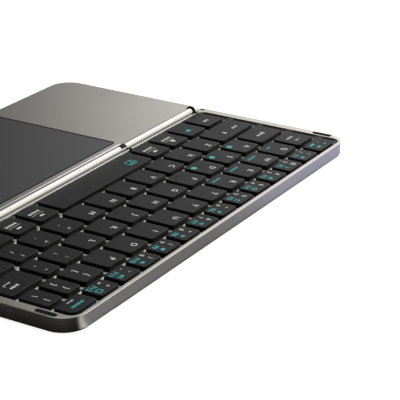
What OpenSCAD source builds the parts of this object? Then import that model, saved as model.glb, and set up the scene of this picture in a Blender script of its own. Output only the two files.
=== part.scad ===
// Folding keyboard with a touchpad half. X runs to the typist's right, Y away from the typist.
// The hinge axis lies along X above the middle of the footprint, and Z = 0 is the table.

/* [Keys] */
// Distance from one letter key to the next in a row
key_pitch = 18; // [16.5:0.1:20]
// Distance from one row of keys to the next
row_pitch = 18.4; // [17:0.1:20]
// Front-to-back size of the shallow number keys
number_depth = 10.9; // [10:0.1:15]
// Gap between the tops of two keys side by side
key_gap = 2.85; // [2.6:0.05:3.4]
// Gap between the tops of two rows
row_gap = 2.65; // [2.4:0.05:3.4]
// Gap between the two half-height arrow keys
arrow_gap = 1; // [0.8:0.1:2]
// How far each side of a key leans in from its foot to its top
key_draft = 0.25; // [0:0.05:0.35]
// Corner radius of a key
key_corner_r = 1.8; // [1:0.1:2.5]
// Radius of the outer back corners of the back row, along the corners of the well
end_key_r = 4; // [3:0.1:4.5]
// Bevel round the top of a key
key_bevel = 0.3; // [0.1:0.05:0.4]
// Thickness of the top of a key
cap_t = 1.5; // [1.45:0.05:1.8]
// Thickness of the skirt of a key
cap_wall = 1; // [0.8:0.1:1.3]
// Height of the key tops above the deck between them
key_rise = 2.3; // [2:0.05:2.5]
// How far the key tops lie below the rim
key_drop = 0.2; // [0.1:0.05:0.4]
// Travel of a key
key_travel = 1.4; // [1:0.1:1.4]
// Clearance between the foot of a key and its opening in the deck
opening_gap = 0.3; // [0.2:0.05:0.4]
// Height of the homing bars
homing_h = 0.25; // [0.15:0.05:0.3]

/* [Housing] */
// Thickness of each half without its feet
body_h = 7; // [6.9:0.1:9]
// Width of the rim at each side of the keys
side_rim = 4.95; // [4.5:0.05:7]
// Width of the rim behind the keys
back_rim = 1.8; // [1.8:0.1:4]
// Width of the strip between the keys and the hinge
front_strip = 1.05; // [1:0.05:3]
// Room between the key tops and the side rims
side_clear = 2.7; // [1.5:0.1:4]
// Room between the number keys and the back rim
back_clear = 2.1; // [1:0.1:3]
// Room between the space bar row and the front strip
front_clear = 0.8; // [0.7:0.1:2]
// Plan radius of the outer corners away from the hinge
corner_r = 12; // [8:0.5:14]
// Plan radius of the keyboard half's corners at the hinge
near_r = 5; // [3:0.5:6]
// Plan radius of the touchpad half's corners at the hinge
lid_near_r = 7.5; // [3:0.5:7.5]
// Plan radius of the corners of the key well
well_r = 5; // [2:0.5:6]
// Bevel round the top edge
top_bevel = 0.25; // [0.1:0.05:0.6]
// Bevel round the lower edge of the metal frames
low_bevel = 0.25; // [0.1:0.05:0.5]
// Thickness of the bottom covers
base_t = 1; // [0.8:0.1:1.4]
// Thickness of the cover's lip that shows below the frame
lip_t = 0.45; // [0.3:0.05:0.6]
// Thickness of the deck between the keys
deck_t = 0.8; // [0.6:0.1:1]
// Width of the ledge that carries the deck
ledge_w = 1.15; // [0.8:0.05:1.5]
// Thickness of the touchpad half's top skin
skin_t = 1.6; // [1.4:0.1:2]
// Thickness of its front wall
front_wall = 3; // [2.5:0.5:5]

/* [Key mechanism] */
// Height of the ribs that carry the switch plate
rib_h = 0.85; // [0.8:0.05:0.9]
// Thickness of the steel switch plate
plate_t = 0.4; // [0.3:0.05:0.4]
// Thickness of the switch membrane
membrane_t = 0.25; // [0.15:0.05:0.25]
// Foot radius of a rubber dome
dome_r = 2.1; // [1.8:0.1:2.2]
// Thickness of a scissor link
link_t = 0.6; // [0.5:0.05:0.7]
// Width of a scissor link's bars
link_bar = 0.7; // [0.6:0.05:0.8]

/* [Hinge] */
// Radius of the hinge barrels
barrel_r = 2.2; // [1.9:0.05:2.4]
// Height of the hinge axis above the rims, half the gap of the folded halves
axis_rise = 0.3; // [0.25:0.05:0.6]
// Radius of the steel hinge pins
pin_r = 1; // [0.8:0.05:1.1]
// Seam between the barrels and the keyboard frame
seam = 0.35; // [0.25:0.05:0.5]
// Gap between the two halves below the barrels
half_gap = 0.4; // [0.3:0.1:0.8]
// Width of the inner knuckles
knuckle_w = 4.9; // [3.5:0.1:6]
// Distance of the left inner knuckle from the middle
left_knuckle_x = 49.35; // [30:0.5:80]
// Distance of the right inner knuckle from the middle
right_knuckle_x = 62; // [30:0.5:80]
// Width of the arms that hold the knuckles in the front strip
arm_w = 2.2; // [1.5:0.1:3]
// Radius of the discs at the ends of the hinge
disc_r = 3; // [2.6:0.05:3.2]
// Thickness of the discs at the ends of the hinge
disc_w = 1; // [0.8:0.1:1.5]
// Distance of the discs from the outer ends of the halves
disc_inset = 8.5; // [8:0.1:12]
// Visible width of the middle barrel's flange
flange_w = 3.6; // [2:0.05:5]
// How far the flange runs on past each end of the middle barrel
flange_over = 8.6; // [4:0.1:12]
// Length of a hinge leaf under the keys
leaf_d = 14; // [10:1:18]
// Width of a hinge leaf
leaf_w = 14; // [10:1:20]
// Thickness of a hinge leaf
leaf_t = 0.8; // [0.6:0.1:0.8]

/* [Touchpad] */
// Width of the touchpad
pad_w = 113.6; // [80:1:116]
// Depth of the touchpad
pad_d = 78; // [60:1:78]
// Distance from the hinge axis to the touchpad
pad_rear = 8.8; // [8.5:0.1:10]
// Corner radius of the touchpad
pad_r = 2.5; // [1.5:0.5:5]
// Thickness of the touchpad's glossy plate
pad_t = 0.8; // [0.6:0.1:0.9]
// Width of the black gasket round the touchpad
gasket_w = 0.35; // [0.25:0.05:0.6]
// Thickness of the sensor board under the touchpad
sensor_t = 0.8; // [0.6:0.1:1]
// Width of the ledge that carries the touchpad
pad_ledge = 2; // [1.5:0.5:3]

/* [Feet and fasteners] */
// Height of the rubber foot strips
foot_h = 0.5; // [0.4:0.1:1.5]
// Width of the foot strips
foot_w = 3.5; // [3:0.5:6]
// Length of the foot strips
foot_len = 193; // [100:1:200]
// Distance of the outer foot strips from the outer edge
foot_inset = 0.8; // [0.5:0.1:3]
// Length of the rubber pads in the rim
bumper_len = 11; // [8:0.5:16]
// Width of the rubber pads in the rim
bumper_w = 2.6; // [1.6:0.1:2.8]
// Length of the small rubber pads at the hinge
corner_pad_len = 2.6; // [2:0.1:3]
// Width of the small rubber pads at the hinge
corner_pad_w = 1.3; // [1:0.1:1.6]
// How far the rubber pads stand out of the rim
bumper_proud = 0.15; // [0.05:0.05:0.2]
// Shaft radius of the cover screws
screw_r = 0.8; // [0.6:0.05:1]
// Length of the cover screws
screw_len = 4; // [3:0.5:4.5]
// Radius of the closing magnets
magnet_r = 2; // [1.5:0.1:2.1]
// Thickness of the closing magnets
magnet_t = 1.5; // [1:0.1:2]

/* [Electronics] */
// Width of the battery
battery_w = 52; // [40:1:56]
// Depth of the battery
battery_d = 64; // [50:1:74]
// Thickness of the battery
battery_t = 3.4; // [2.5:0.1:3.8]
// Width of the main board
board_w = 46; // [30:1:56]
// Depth of the main board
board_d = 35; // [28:1:60]
// Thickness of the main board
board_t = 0.8; // [0.6:0.1:1]
// Distance of the charging socket from the hinge axis
socket_y = 22; // [16:1:26]

/* [Hidden] */
$fn = 64;
eps = 0.01;
wide = 400;
fit = 0.05;
count_of_rows = 5;

// Rows from the hinge outwards. Each entry is the node that holds the key and the key's share
// of the row in letter-key pitches. A share of 0 takes an equal part of what is left over.
row_units = 13.564;
number_unit = 0.943;
NARROW = 0.743;
ROWS = [
    [["modifier_keys", 1.044], ["modifier_keys", 1], ["modifier_keys", 1], ["modifier_keys", 1],
     ["key_space", 4.556], ["modifier_keys", 1], ["modifier_keys", 1],
     ["arrow_keys", 0], ["arrow_keys", 0], ["arrow_keys", 0]],
    [["side_keys", 1.911], ["key_z", 1], ["key_x", 1], ["key_c", 1], ["key_v", 1], ["key_b", 1],
     ["key_n", 1], ["key_m", 1], ["punctuation_keys", 1], ["punctuation_keys", 1],
     ["punctuation_keys", 1], ["key_right_shift", 0]],
    [["side_keys", 1.414], ["key_a", 1], ["key_s", 1], ["key_d", 1], ["key_f", 1], ["key_g", 1],
     ["key_h", 1], ["key_j", 1], ["key_k", 1], ["key_l", 1], ["punctuation_keys", 1],
     ["punctuation_keys", NARROW], ["key_enter", 0]],
    [["side_keys", 1.033], ["key_q", 1], ["key_w", 1], ["key_e", 1], ["key_r", 1], ["key_t", 1],
     ["key_y", 1], ["key_u", 1], ["key_i", 1], ["key_o", 1], ["key_p", 1],
     ["punctuation_keys", 1], ["punctuation_keys", NARROW], ["punctuation_keys", 0]],
    [["number_keys", 0], for (i = [1 : 12]) ["number_keys", number_unit], ["number_keys", 0]]
];
HOMING_KEYS = ["key_f", "key_j"];
up_down_row = 0;
up_down_column = 8;

KEY_NODES = [
    "key_a", "key_b", "key_c", "key_d", "key_e", "key_f", "key_g", "key_h", "key_i", "key_j",
    "key_k", "key_l", "key_m", "key_n", "key_o", "key_p", "key_q", "key_r", "key_s", "key_t",
    "key_u", "key_v", "key_w", "key_x", "key_y", "key_z", "key_space", "key_enter",
    "key_right_shift", "side_keys", "punctuation_keys", "modifier_keys", "arrow_keys",
    "number_keys"
];

// Plan sizes
body_w = row_units * key_pitch - key_gap + 2 * (side_clear + side_rim);
well_front = barrel_r + seam + front_strip;
key_front = well_front + front_clear;
half_d = key_front + (count_of_rows - 1) * row_pitch + number_depth + back_clear + back_rim;
well_w = body_w - 2 * side_rim;
well_back = half_d - back_rim;
room_w = well_w - 2 * ledge_w;
room_front = well_front - 0.3;
deck_front = well_front - 1.15;
field_left = -well_w / 2 + side_clear;
room_r = well_r - ledge_w - 0.2;

// Levels above the table
base_z = foot_h;
frame_z = base_z + lip_t;
floor_z = base_z + base_t;
top_z = base_z + body_h;
plate_z = floor_z + rib_h + fit;
membrane_z = plate_z + plate_t;
membrane_top = membrane_z + membrane_t;
key_top = top_z - key_drop;
deck_top = key_top - key_rise;
skirt_z = membrane_top + key_travel + 0.25;
ceiling_z = key_top - cap_t;
axis_z = top_z + axis_rise;
pad_seat = top_z - 0.1 - pad_t;

// Hinge
end_gap = 0.15;
KNUCKLE_X = [right_knuckle_x, left_knuckle_x];
to_barrel = knuckle_w / 2 + end_gap;
disc_end = body_w / 2 - disc_inset;
disc_start = disc_end - disc_w;
slot_end = disc_end + end_gap;
outer_barrel_end = disc_start - end_gap;
MIDDLE_BARREL = [to_barrel - left_knuckle_x, right_knuckle_x - to_barrel];
OUTER_BARRELS = [[right_knuckle_x + to_barrel, outer_barrel_end],
                 [-outer_barrel_end, -left_knuckle_x - to_barrel]];
PIN_START = [for (x = KNUCKLE_X) x - to_barrel - 7];
pin_end = disc_end - 0.5;
outer_web_end = disc_end + 2;
tongue_y = -barrel_r;
tongue_t = 0.8;
tongue_low = axis_z - barrel_r - 1.6;

// Fasteners and magnets lie in the thick side walls
wall_x = (body_w / 2 + room_w / 2) / 2;
screw_head_r = screw_r + 0.7;
SCREW_Y = [12, half_d / 2 + 2, half_d - 13];
magnet_y = half_d - 27;
magnet_roof = 1;
pad_y = half_d - 14.5;
pad_recess = 0.8;

// Compartments of the touchpad half
rib_w = 2;
centre_w = pad_w + 2 * pad_ledge;
side_room_x = centre_w / 2 + rib_w;
socket_w = 8.94;
socket_h = 3.16;
socket_len = 7.3;
socket_wall = 0.3;
board_z = floor_z + 0.1;
socket_z = board_z + board_t + socket_h / 2;

function share_left(row) =
    let (taken = [for (key = row) key[1]],
         empty = len([for (key = row) if (key[1] == 0) 1]))
    (row_units - sum(taken)) / max(empty, 1);
function sum(list, i = 0) = i < len(list) ? list[i] + sum(list, i + 1) : 0;
function key_units(row, i) = row[i][1] == 0 ? share_left(row) : row[i][1];
function key_left(row, i) =
    field_left + key_pitch * sum([for (j = [0 : 1 : i - 1]) key_units(row, j)]);
function key_width(row, i) = key_pitch * key_units(row, i) - key_gap;
function row_depth(r) = r == count_of_rows - 1 ? number_depth : row_pitch - row_gap;

// Places of all keys: [node, centre x, centre y, width, depth, rounded side] of the key tops.
// The first and last keys of the back row have their outer back corner rounded more.
function keys_at(r, i) =
    let (row = ROWS[r],
         side = r < count_of_rows - 1 ? 0 : i == 0 ? -1 : i == len(row) - 1 ? 1 : 0,
         w = key_width(row, i),
         d = row_depth(r),
         x = key_left(row, i) + w / 2,
         y = key_front + r * row_pitch,
         half = (d - arrow_gap) / 2)
    r == up_down_row && i == up_down_column
        ? [[row[i][0], x, y + half / 2, w, half, 0], [row[i][0], x, y + d - half / 2, w, half, 0]]
        : [[row[i][0], x, y + d / 2, w, d, side]];
KEYS = [for (r = [0 : count_of_rows - 1]) for (i = [0 : len(ROWS[r]) - 1]) each keys_at(r, i)];

// Rectangle with round corners, from y0 to y1
module round_rect(w, y0, y1, r) {
    translate([-w / 2 + r, y0]) square([w - 2 * r, y1 - y0]);
    translate([-w / 2, y0 + r]) square([w, y1 - y0 - 2 * r]);
    for (x = [-1, 1], y = [y0 + r, y1 - r])
        translate([x * (w / 2 - r), y]) circle(r);
}

// The same, centred
module round_plate(w, d, r) {
    round_rect(w, -d / 2, d / 2, r);
}

// Plan of one half, set in from the outer edge, with corners of radius n at the hinge
module half_outline(inset, n) {
    w = body_w - 2 * inset;
    r = corner_r - inset;
    near = n - inset;
    y0 = half_gap / 2 + inset;
    y1 = half_d - inset;
    translate([-w / 2, y0 + near]) square([w, y1 - r - y0 - near]);
    translate([-w / 2 + near, y0]) square([w - 2 * near, y1 - r - y0]);
    translate([-w / 2 + r, y0 + near]) square([w - 2 * r, y1 - y0 - near]);
    for (x = [-1, 1]) {
        translate([x * (w / 2 - r), y1 - r]) circle(r);
        translate([x * (w / 2 - near), y0 + near]) circle(near);
    }
}

// Section of a half's outer edge next to a corner of radius r, bevelled above and below
module edge_section(r) {
    tall = top_z - frame_z;
    polygon([
        [0, 0], [r - low_bevel, 0], [r, low_bevel], [r, tall - top_bevel],
        [r - top_bevel, tall], [0, tall]
    ]);
}

// Solid block of one half, swept round its outline, with corners of radius n at the hinge
module half_block(n) {
    far_x = body_w / 2 - corner_r;
    far_y = half_d - corner_r;
    near_x = body_w / 2 - n;
    near_y = half_gap / 2 + n;
    translate([0, 0, frame_z]) {
        translate([-far_x, near_y, 0]) cube([2 * far_x, far_y - near_y, top_z - frame_z]);
        translate([-far_x, far_y, 0])
            rotate([90, 0, 90]) linear_extrude(2 * far_x) edge_section(corner_r);
        mirror([0, 1, 0]) translate([-near_x, -near_y, 0])
            rotate([90, 0, 90]) linear_extrude(2 * near_x) edge_section(n);
        for (side = [0, 1])
            mirror([side, 0, 0]) {
                translate([far_x, far_y, 0]) {
                    rotate_extrude(angle = 90) edge_section(corner_r);
                    rotate([90, 0, 0]) linear_extrude(far_y - near_y) edge_section(corner_r);
                }
                translate([near_x, near_y, 0])
                    rotate(-90) rotate_extrude(angle = 90) edge_section(n);
            }
    }
}

// A slab of any plan between two levels
module slab(z0, z1) {
    translate([0, 0, z0]) linear_extrude(z1 - z0) children();
}

// A rod along X
module rod(x0, x1, r) {
    translate([x0, 0, axis_z]) rotate([0, 90, 0]) cylinder(r = r, h = x1 - x0);
}

// A box between two corners
module block(low, high) {
    translate(low) cube(high - low);
}

module at_screws() {
    for (x = [-1, 1], y = SCREW_Y)
        translate([x * wall_x, y, base_z]) children();
}

module at_magnets() {
    for (x = [-1, 1])
        translate([x * wall_x, magnet_y, 0]) children();
}

module at_pads() {
    for (x = [-1, 1])
        translate([x * (body_w - side_rim) / 2, pad_y, top_z]) children();
}

module at_corner_pads() {
    for (x = [-1, 1])
        translate([x * (body_w / 2 - 0.6 - 0.3 * near_r), 1.8 + 0.3 * near_r, top_z]) children();
}

// A pad with round ends, or with a gap above 0 the pocket for it
module pad(length, w, tall, gap) {
    translate([0, 0, -pad_recess]) linear_extrude(tall)
        rotate(90) round_plate(length + 2 * gap, w + 2 * gap, w / 2 + gap - eps);
}

// Holes that both frames share: cover recess, screws and magnets
module frame_pockets(n) {
    slab(frame_z - 1, floor_z) half_outline(1.6, n);
    at_screws() cylinder(r = screw_r + fit, h = screw_len + 0.4);
    at_magnets() cylinder(r = magnet_r + fit, h = top_z - magnet_roof);
}

module screws() {
    at_screws() {
        cylinder(r = screw_r, h = screw_len);
        cylinder(r1 = screw_head_r, r2 = screw_r, h = screw_head_r - screw_r);
    }
}

module magnets() {
    at_magnets() translate([0, 0, top_z - magnet_roof - fit - magnet_t])
        cylinder(r = magnet_r, h = magnet_t);
}

// Bottom cover of a half: a lip under the frame and a step that fills its recess
module cover(n) {
    difference() {
        union() {
            slab(base_z, frame_z) half_outline(0.35, n);
            slab(frame_z - eps, floor_z) half_outline(1.6 + fit, n);
        }
        at_screws() {
            translate([0, 0, -eps]) cylinder(r = screw_r + fit, h = base_t + 1);
            translate([0, 0, -eps])
                cylinder(r1 = screw_head_r + 2 * fit, r2 = screw_r + fit,
                         h = screw_head_r - screw_r + fit);
        }
    }
}

// Two rubber strips with round ends under a half
module foot_strips() {
    outer_y = half_d - foot_inset - foot_w / 2;
    for (y = [16, outer_y])
        translate([0, y, 0]) linear_extrude(foot_h)
            round_plate(foot_len, foot_w, foot_w / 2 - eps);
}

// The mounts of the knuckles. Each inner knuckle reaches below the front strip to an arm beside
// it, each end disc has its arm beside it too. Webs run down in front of the deck to the leaves
// between the cover and the switch plate. A gap above 0 draws the room for all this.
module knuckle_mounts(gap) {
    leaf_z = floor_z + fit;
    for (side = [0, 1])
        mirror([side, 0, 0]) {
            start = KNUCKLE_X[side] - knuckle_w / 2;
            end = start + knuckle_w;
            leaf_x = KNUCKLE_X[side] - leaf_w / 2;
            block([start - gap, -gap, deck_top + 0.45 - gap],
                  [end + gap, well_front - 0.2 + gap, top_z - 0.6 + gap]);
            arm(end - 0.1, end + arm_w, start, gap);
            arm(disc_start, outer_web_end, disc_start, gap);
            web(start, end + arm_w, gap);
            web(disc_start, outer_web_end, gap);
            block([leaf_x - gap, room_front + 1, leaf_z - gap],
                  [leaf_x + leaf_w + gap, leaf_d + gap, leaf_z + leaf_t + gap / 3]);
            block([outer_web_end - leaf_w, room_front + 1, leaf_z - gap],
                  [outer_web_end, leaf_d + gap, leaf_z + leaf_t + gap / 3]);
        }
}

// Arm from x0 to x1 that fills a notch in the front strip
module arm(x0, x1, web_x0, gap) {
    block([x0 - gap, barrel_r + 0.2, deck_top + 0.45 - gap],
          [x1 + gap, well_front - 0.2 + 2 * gap, top_z - 0.3 + 10 * gap]);
    block([web_x0 - gap, 0.4 - gap, deck_top + 0.45 - gap],
          [x1 + gap, well_front - 0.2 + gap, deck_top + 0.55]);
}

module web(x0, x1, gap) {
    block([x0 - gap, 0.4 - gap, floor_z + fit - gap],
          [x1 + gap, deck_front - 0.25 + 1.5 * gap, deck_top + 0.5]);
    block([x0 - gap, 0.4 - gap, floor_z + fit - gap],
          [x1 + gap, leaf_d + gap, floor_z + fit + leaf_t + gap / 3]);
}

module keyboard_frame() {
    color("silver") difference() {
        half_block(near_r);
        slab(deck_top - eps, top_z + 1) round_rect(well_w, well_front, well_back, well_r);
        slab(deck_top - deck_t, deck_top)
            round_rect(well_w, deck_front - 0.1, well_back, well_r);
        slab(frame_z - 1, deck_top - deck_t + eps)
            round_rect(room_w, room_front, well_back - ledge_w, well_r - ledge_w);
        rod(-slot_end, slot_end, barrel_r + seam);
        for (side = [0, 1])
            mirror([side, 0, 0]) rod(disc_start - end_gap, slot_end, disc_r + 0.2);
        frame_pockets(near_r);
        knuckle_mounts(0.15);
        at_pads() pad(bumper_len, bumper_w, 2, fit);
        at_corner_pads() pad(corner_pad_len, corner_pad_w, 2, fit);
    }
}

// Plate between the keys, with one opening for each key
module key_deck() {
    color("silver") slab(deck_top - deck_t, deck_top) difference() {
        round_rect(well_w - 0.2, deck_front, well_back - 0.1, well_r - 0.1);
        for (key = KEYS)
            translate([key[1], key[2]])
                round_plate(key[3] + 2 * (key_draft + opening_gap),
                            key[4] + 2 * (key_draft + opening_gap), key_corner_r);
    }
}

module keyboard_base() {
    color("dimgray") {
        cover(near_r);
        // Ribs under the rows of keys carry the switch plate
        for (r = [1 : count_of_rows - 1])
            translate([0, key_front + r * row_pitch - row_gap / 2, floor_z - eps])
                translate([-room_w / 2 + 4, -0.6, 0]) cube([room_w - 8, 1.2, rib_h + eps]);
    }
}

module switch_plate() {
    color("lightgray") slab(plate_z, membrane_z)
        round_rect(room_w - 0.4, room_front + 0.2, well_back - ledge_w - 0.2, room_r);
}

module membrane() {
    color("seagreen") slab(membrane_z, membrane_top)
        round_rect(room_w - 1, room_front + 0.5, well_back - ledge_w - 0.5, room_r);
}

// Mid-points of the mechanisms under a key: three under a very wide one, none under half keys
function mechanisms(w) = w > 4 * key_pitch ? [-w / 3, 0, w / 3] : [0];

// One hollow bell under each key
module rubber_domes() {
    h = ceiling_z - membrane_top - fit;
    color("white") for (key = KEYS)
        translate([key[1], key[2], membrane_top]) rotate_extrude()
            polygon([
                [dome_r - 0.6, 0], [dome_r, 0], [dome_r / 2, h - 0.7], [dome_r / 2, h],
                [0, h], [0, h - 0.8], [dome_r / 2 - 0.4, h - 0.8]
            ]);
}

// One flat ring of a scissor pair
module link_ring(w, l) {
    translate([0, 0, -link_t / 2]) linear_extrude(link_t) difference() {
        square([w, l], center = true);
        square([w - 2 * link_bar, l - 2 * link_bar], center = true);
    }
}

// Two rings that cross like scissors under each key and turn on short pivots
module scissor_links() {
    rise = ceiling_z - membrane_top - 2 * fit;
    color("gainsboro") for (key = KEYS)
        if (key[4] > number_depth - 1)
            for (dx = mechanisms(key[3])) {
                w = min(key[3], key_pitch - key_gap) - 2 * cap_wall - 0.6;
                l = key[4] - 2 * cap_wall - 1.6;
                tilt = asin((rise - link_t) / l);
                inner_w = w - 2 * link_bar - 0.4;
                translate([key[1] + dx, key[2], (ceiling_z + membrane_top) / 2]) {
                    rotate([tilt, 0, 0]) link_ring(w, l);
                    rotate([-tilt, 0, 0]) {
                        link_ring(inner_w, l);
                        for (side = [0, 1])
                            mirror([side, 0, 0]) translate([inner_w / 2 - eps, 0, 0])
                                rotate([0, 90, 0]) cylinder(r = link_t / 2 - 0.05, h = 0.15);
                    }
                }
            }
}

module keyboard_feet() {
    color("black") foot_strips();
}

module rim_pads() {
    tall = pad_recess + bumper_proud;
    color("black") {
        at_pads() pad(bumper_len, bumper_w, tall, 0);
        at_corner_pads() pad(corner_pad_len, corner_pad_w, tall, 0);
    }
}

module keyboard_screws() {
    color("gray") screws();
}

module keyboard_magnets() {
    color("lightgray") magnets();
}

// Black knuckles and end discs with the arms and leaves that hold them in the keyboard half
module hinge_knuckles() {
    color("black") difference() {
        union() {
            for (side = [0, 1])
                mirror([side, 0, 0]) {
                    rod(KNUCKLE_X[side] - knuckle_w / 2, KNUCKLE_X[side] + knuckle_w / 2,
                        barrel_r);
                    rod(disc_start, disc_end, disc_r);
                }
            knuckle_mounts(0);
        }
        for (side = [0, 1])
            mirror([side, 0, 0]) rod(PIN_START[side], pin_end + 0.1, pin_r + 0.03);
        at_screws() translate([0, 0, base_t]) cylinder(r = screw_r + 0.15, h = 2);
    }
}

module hinge_pins() {
    color("lightgray") for (side = [0, 1])
        mirror([side, 0, 0]) rod(PIN_START[side], pin_end, pin_r);
}

// Keycap: drafted sides and a bevelled top over a hollow skirt
module keycap(w, d, side) {
    tall = key_top - skirt_z;
    translate([0, 0, skirt_z]) difference() {
        end_corner(w + 2 * key_draft, d + 2 * key_draft, end_key_r, side) intersection() {
            linear_extrude(tall)
                round_plate(w + 2 * key_draft, d + 2 * key_draft, key_corner_r);
            rotate([90, 0, 0]) linear_extrude(2 * d, center = true) cap_profile(w, tall);
            rotate([90, 0, 90]) linear_extrude(2 * w, center = true) cap_profile(d, tall);
        }
        end_corner(w - 2 * cap_wall, d - 2 * cap_wall, end_key_r - cap_wall, side)
            translate([0, 0, (tall - cap_t) / 2 - eps])
                cube([w - 2 * cap_wall, d - 2 * cap_wall, tall - cap_t + 2 * eps], center = true);
    }
}

// Rounds the back corner on one side of what it holds, side -1 for left and 1 for right
module end_corner(w, d, r, side) {
    if (side == 0) children();
    else intersection() {
        children();
        translate([-side * r, -r, -1]) linear_extrude(key_top)
            round_plate(w + 2 * r, d + 2 * r, r);
    }
}

module cap_profile(w, tall) {
    foot = w / 2 + key_draft;
    polygon([
        [-foot, -eps], [foot, -eps], [w / 2, tall - key_bevel], [w / 2 - key_bevel, tall],
        [key_bevel - w / 2, tall], [-w / 2, tall - key_bevel]
    ]);
}

// All the keys that one node holds
module keys_of(owner) {
    color("#2b2b2b") for (key = KEYS)
        if (key[0] == owner)
            translate([key[1], key[2], 0]) {
                keycap(key[3], key[4], key[5]);
                if (search([owner], HOMING_KEYS)[0] != [])
                    translate([-1.8, 3.1 - key[4] / 2, key_top - eps])
                        cube([3.6, 0.5, homing_h]);
            }
}

// The touchpad half is drawn away from the typist like the other half, then mirrored
module mirrored_half() {
    mirror([0, 1, 0]) children();
}

module touchpad_frame() {
    pad_front = pad_rear + pad_d;
    color("#8e8a85") mirrored_half() difference() {
        half_block(lid_near_r);
        // Touchpad seat and the opening for the sensor board below it
        slab(pad_seat, top_z + 1)
            round_rect(pad_w + 2 * gasket_w, pad_rear - gasket_w, pad_front + gasket_w,
                       pad_r + gasket_w);
        slab(frame_z - 1, pad_seat + eps)
            round_rect(pad_w - 2 * pad_ledge, pad_rear + pad_ledge, pad_front - pad_ledge, 1);
        // Rooms for the touchpad electronics, the battery and the main board
        slab(frame_z - 1, top_z - skin_t)
            round_rect(centre_w, pad_rear - 3, half_d - front_wall, 1);
        for (side = [0, 1])
            mirror([side, 0, 0])
                block([side_room_x, pad_rear - 3, frame_z - 1],
                      [room_w / 2, half_d - front_wall - 4, top_z - skin_t]);
        rod(-slot_end, slot_end, barrel_r + fit);
        frame_pockets(lid_near_r);
        for (side = [0, 1])
            mirror([side, 0, 0]) {
                rod(KNUCKLE_X[side] - to_barrel, KNUCKLE_X[side] + to_barrel, barrel_r + 0.3);
                rod(disc_start - end_gap, slot_end, disc_r + 0.3);
            }
        tongues(fit);
        // Charging socket in the left wall
        translate([-body_w / 2 - 1, socket_y, socket_z]) rotate([90, 0, 90])
            linear_extrude(socket_len + 2)
                round_plate(socket_w + 2 * fit, socket_h + 2 * fit, socket_h / 2);
    }
}

module touchpad_surface() {
    color("#4a4a4c") mirrored_half() slab(pad_seat, pad_seat + pad_t)
        round_rect(pad_w, pad_rear, pad_rear + pad_d, pad_r);
}

module touchpad_gasket() {
    g = gasket_w - 0.03;
    color("black") mirrored_half() slab(pad_seat, pad_seat + pad_t) difference() {
        round_rect(pad_w + 2 * g, pad_rear - g, pad_rear + pad_d + g, pad_r + g);
        round_rect(pad_w + 0.06, pad_rear - 0.03, pad_rear + pad_d + 0.03, pad_r + 0.03);
    }
}

module sensor_board() {
    inset = pad_ledge + 0.3;
    color("seagreen") mirrored_half() slab(pad_seat - fit - sensor_t, pad_seat - fit)
        round_rect(pad_w - 2 * inset, pad_rear + inset, pad_rear + pad_d - inset, 1);
}

module touchpad_base() {
    color("dimgray") mirrored_half() cover(lid_near_r);
}

module touchpad_feet() {
    color("black") mirrored_half() foot_strips();
}

module touchpad_screws() {
    color("gray") mirrored_half() screws();
}

module touchpad_magnets() {
    color("lightgray") mirrored_half() magnets();
}

// Tongues that key the barrels into the touchpad frame, in the mirrored half
module tongues(gap) {
    for (x = [MIDDLE_BARREL, each OUTER_BARRELS])
        block([x[0] + 1 - gap, -tongue_y - tongue_t - gap, tongue_low - gap],
              [x[1] - 1 + gap, -tongue_y + gap, axis_z - 1]);
}

module barrel(x0, x1) {
    rod(x0, x1, barrel_r);
    block([x0 + 1, tongue_y, tongue_low], [x1 - 1, tongue_y + tongue_t, axis_z - 1]);
}

module outer_barrels() {
    color("silver") for (x = OUTER_BARRELS)
        difference() {
            barrel(x[0], x[1]);
            rod(x[0] - 1, x[1] + 1, pin_r + 0.06);
        }
}

module middle_barrel() {
    color("silver") difference() {
        union() {
            barrel(MIDDLE_BARREL[0], MIDDLE_BARREL[1]);
            flange(0, -1);
            flange(flange_over, -barrel_r - 0.35);
        }
        for (side = [0, 1])
            mirror([side, 0, 0]) rod(PIN_START[side] - 0.3, wide, pin_r + 0.06);
    }
}

// Flat strip in front of the barrel, bevelled at its front, to the level of the axis
module flange(over, back) {
    front = -barrel_r - flange_w;
    span = MIDDLE_BARREL[1] - MIDDLE_BARREL[0] + 2 * over;
    translate([MIDDLE_BARREL[0] - over, 0, 0]) rotate([90, 0, 90]) linear_extrude(span)
        polygon([[front, top_z], [front + axis_rise, axis_z], [back, axis_z], [back, top_z]]);
}

module battery() {
    x0 = side_room_x + (room_w / 2 - side_room_x - battery_w) / 2;
    color("slategray") mirrored_half()
        block([x0, 12, floor_z + fit], [x0 + battery_w, 12 + battery_d, floor_z + fit + battery_t]);
}

// Board with the controller, a radio can and a few parts
module main_board() {
    right = -side_room_x - 1.5;
    left = right - board_w;
    y0 = 12;
    color("darkgreen") mirrored_half() {
        block([left, y0, board_z], [right, y0 + board_d, board_z + board_t]);
        block([0.2 - room_w / 2, socket_y - 6, board_z],
              [left + eps, socket_y + 6, board_z + board_t]);
        top = board_z + board_t - eps;
        block([left + 12, y0 + 5, top], [left + 19, y0 + 12, top + 0.9]);
        block([left + 26, y0 + 16, top], [left + 38, y0 + 28, top + 1.6]);
        for (i = [0 : 4])
            block([left + 8 + 3 * i, y0 + 18, top], [left + 9 + 3 * i, y0 + 20, top + 0.5]);
    }
}

// Hollow metal shell with a contact tongue
module charging_socket() {
    x0 = -body_w / 2 + 0.5;
    color("silver") mirrored_half() translate([x0, socket_y, socket_z]) rotate([90, 0, 90]) {
        difference() {
            linear_extrude(socket_len) round_plate(socket_w, socket_h, socket_h / 2 - eps);
            translate([0, 0, -1]) linear_extrude(socket_len)
                round_plate(socket_w - 2 * socket_wall, socket_h - 2 * socket_wall,
                            socket_h / 2 - socket_wall - eps);
        }
        translate([-3.35, -0.35, 1]) cube([6.7, 0.7, socket_len - 1.5]);
    }
}

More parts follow.
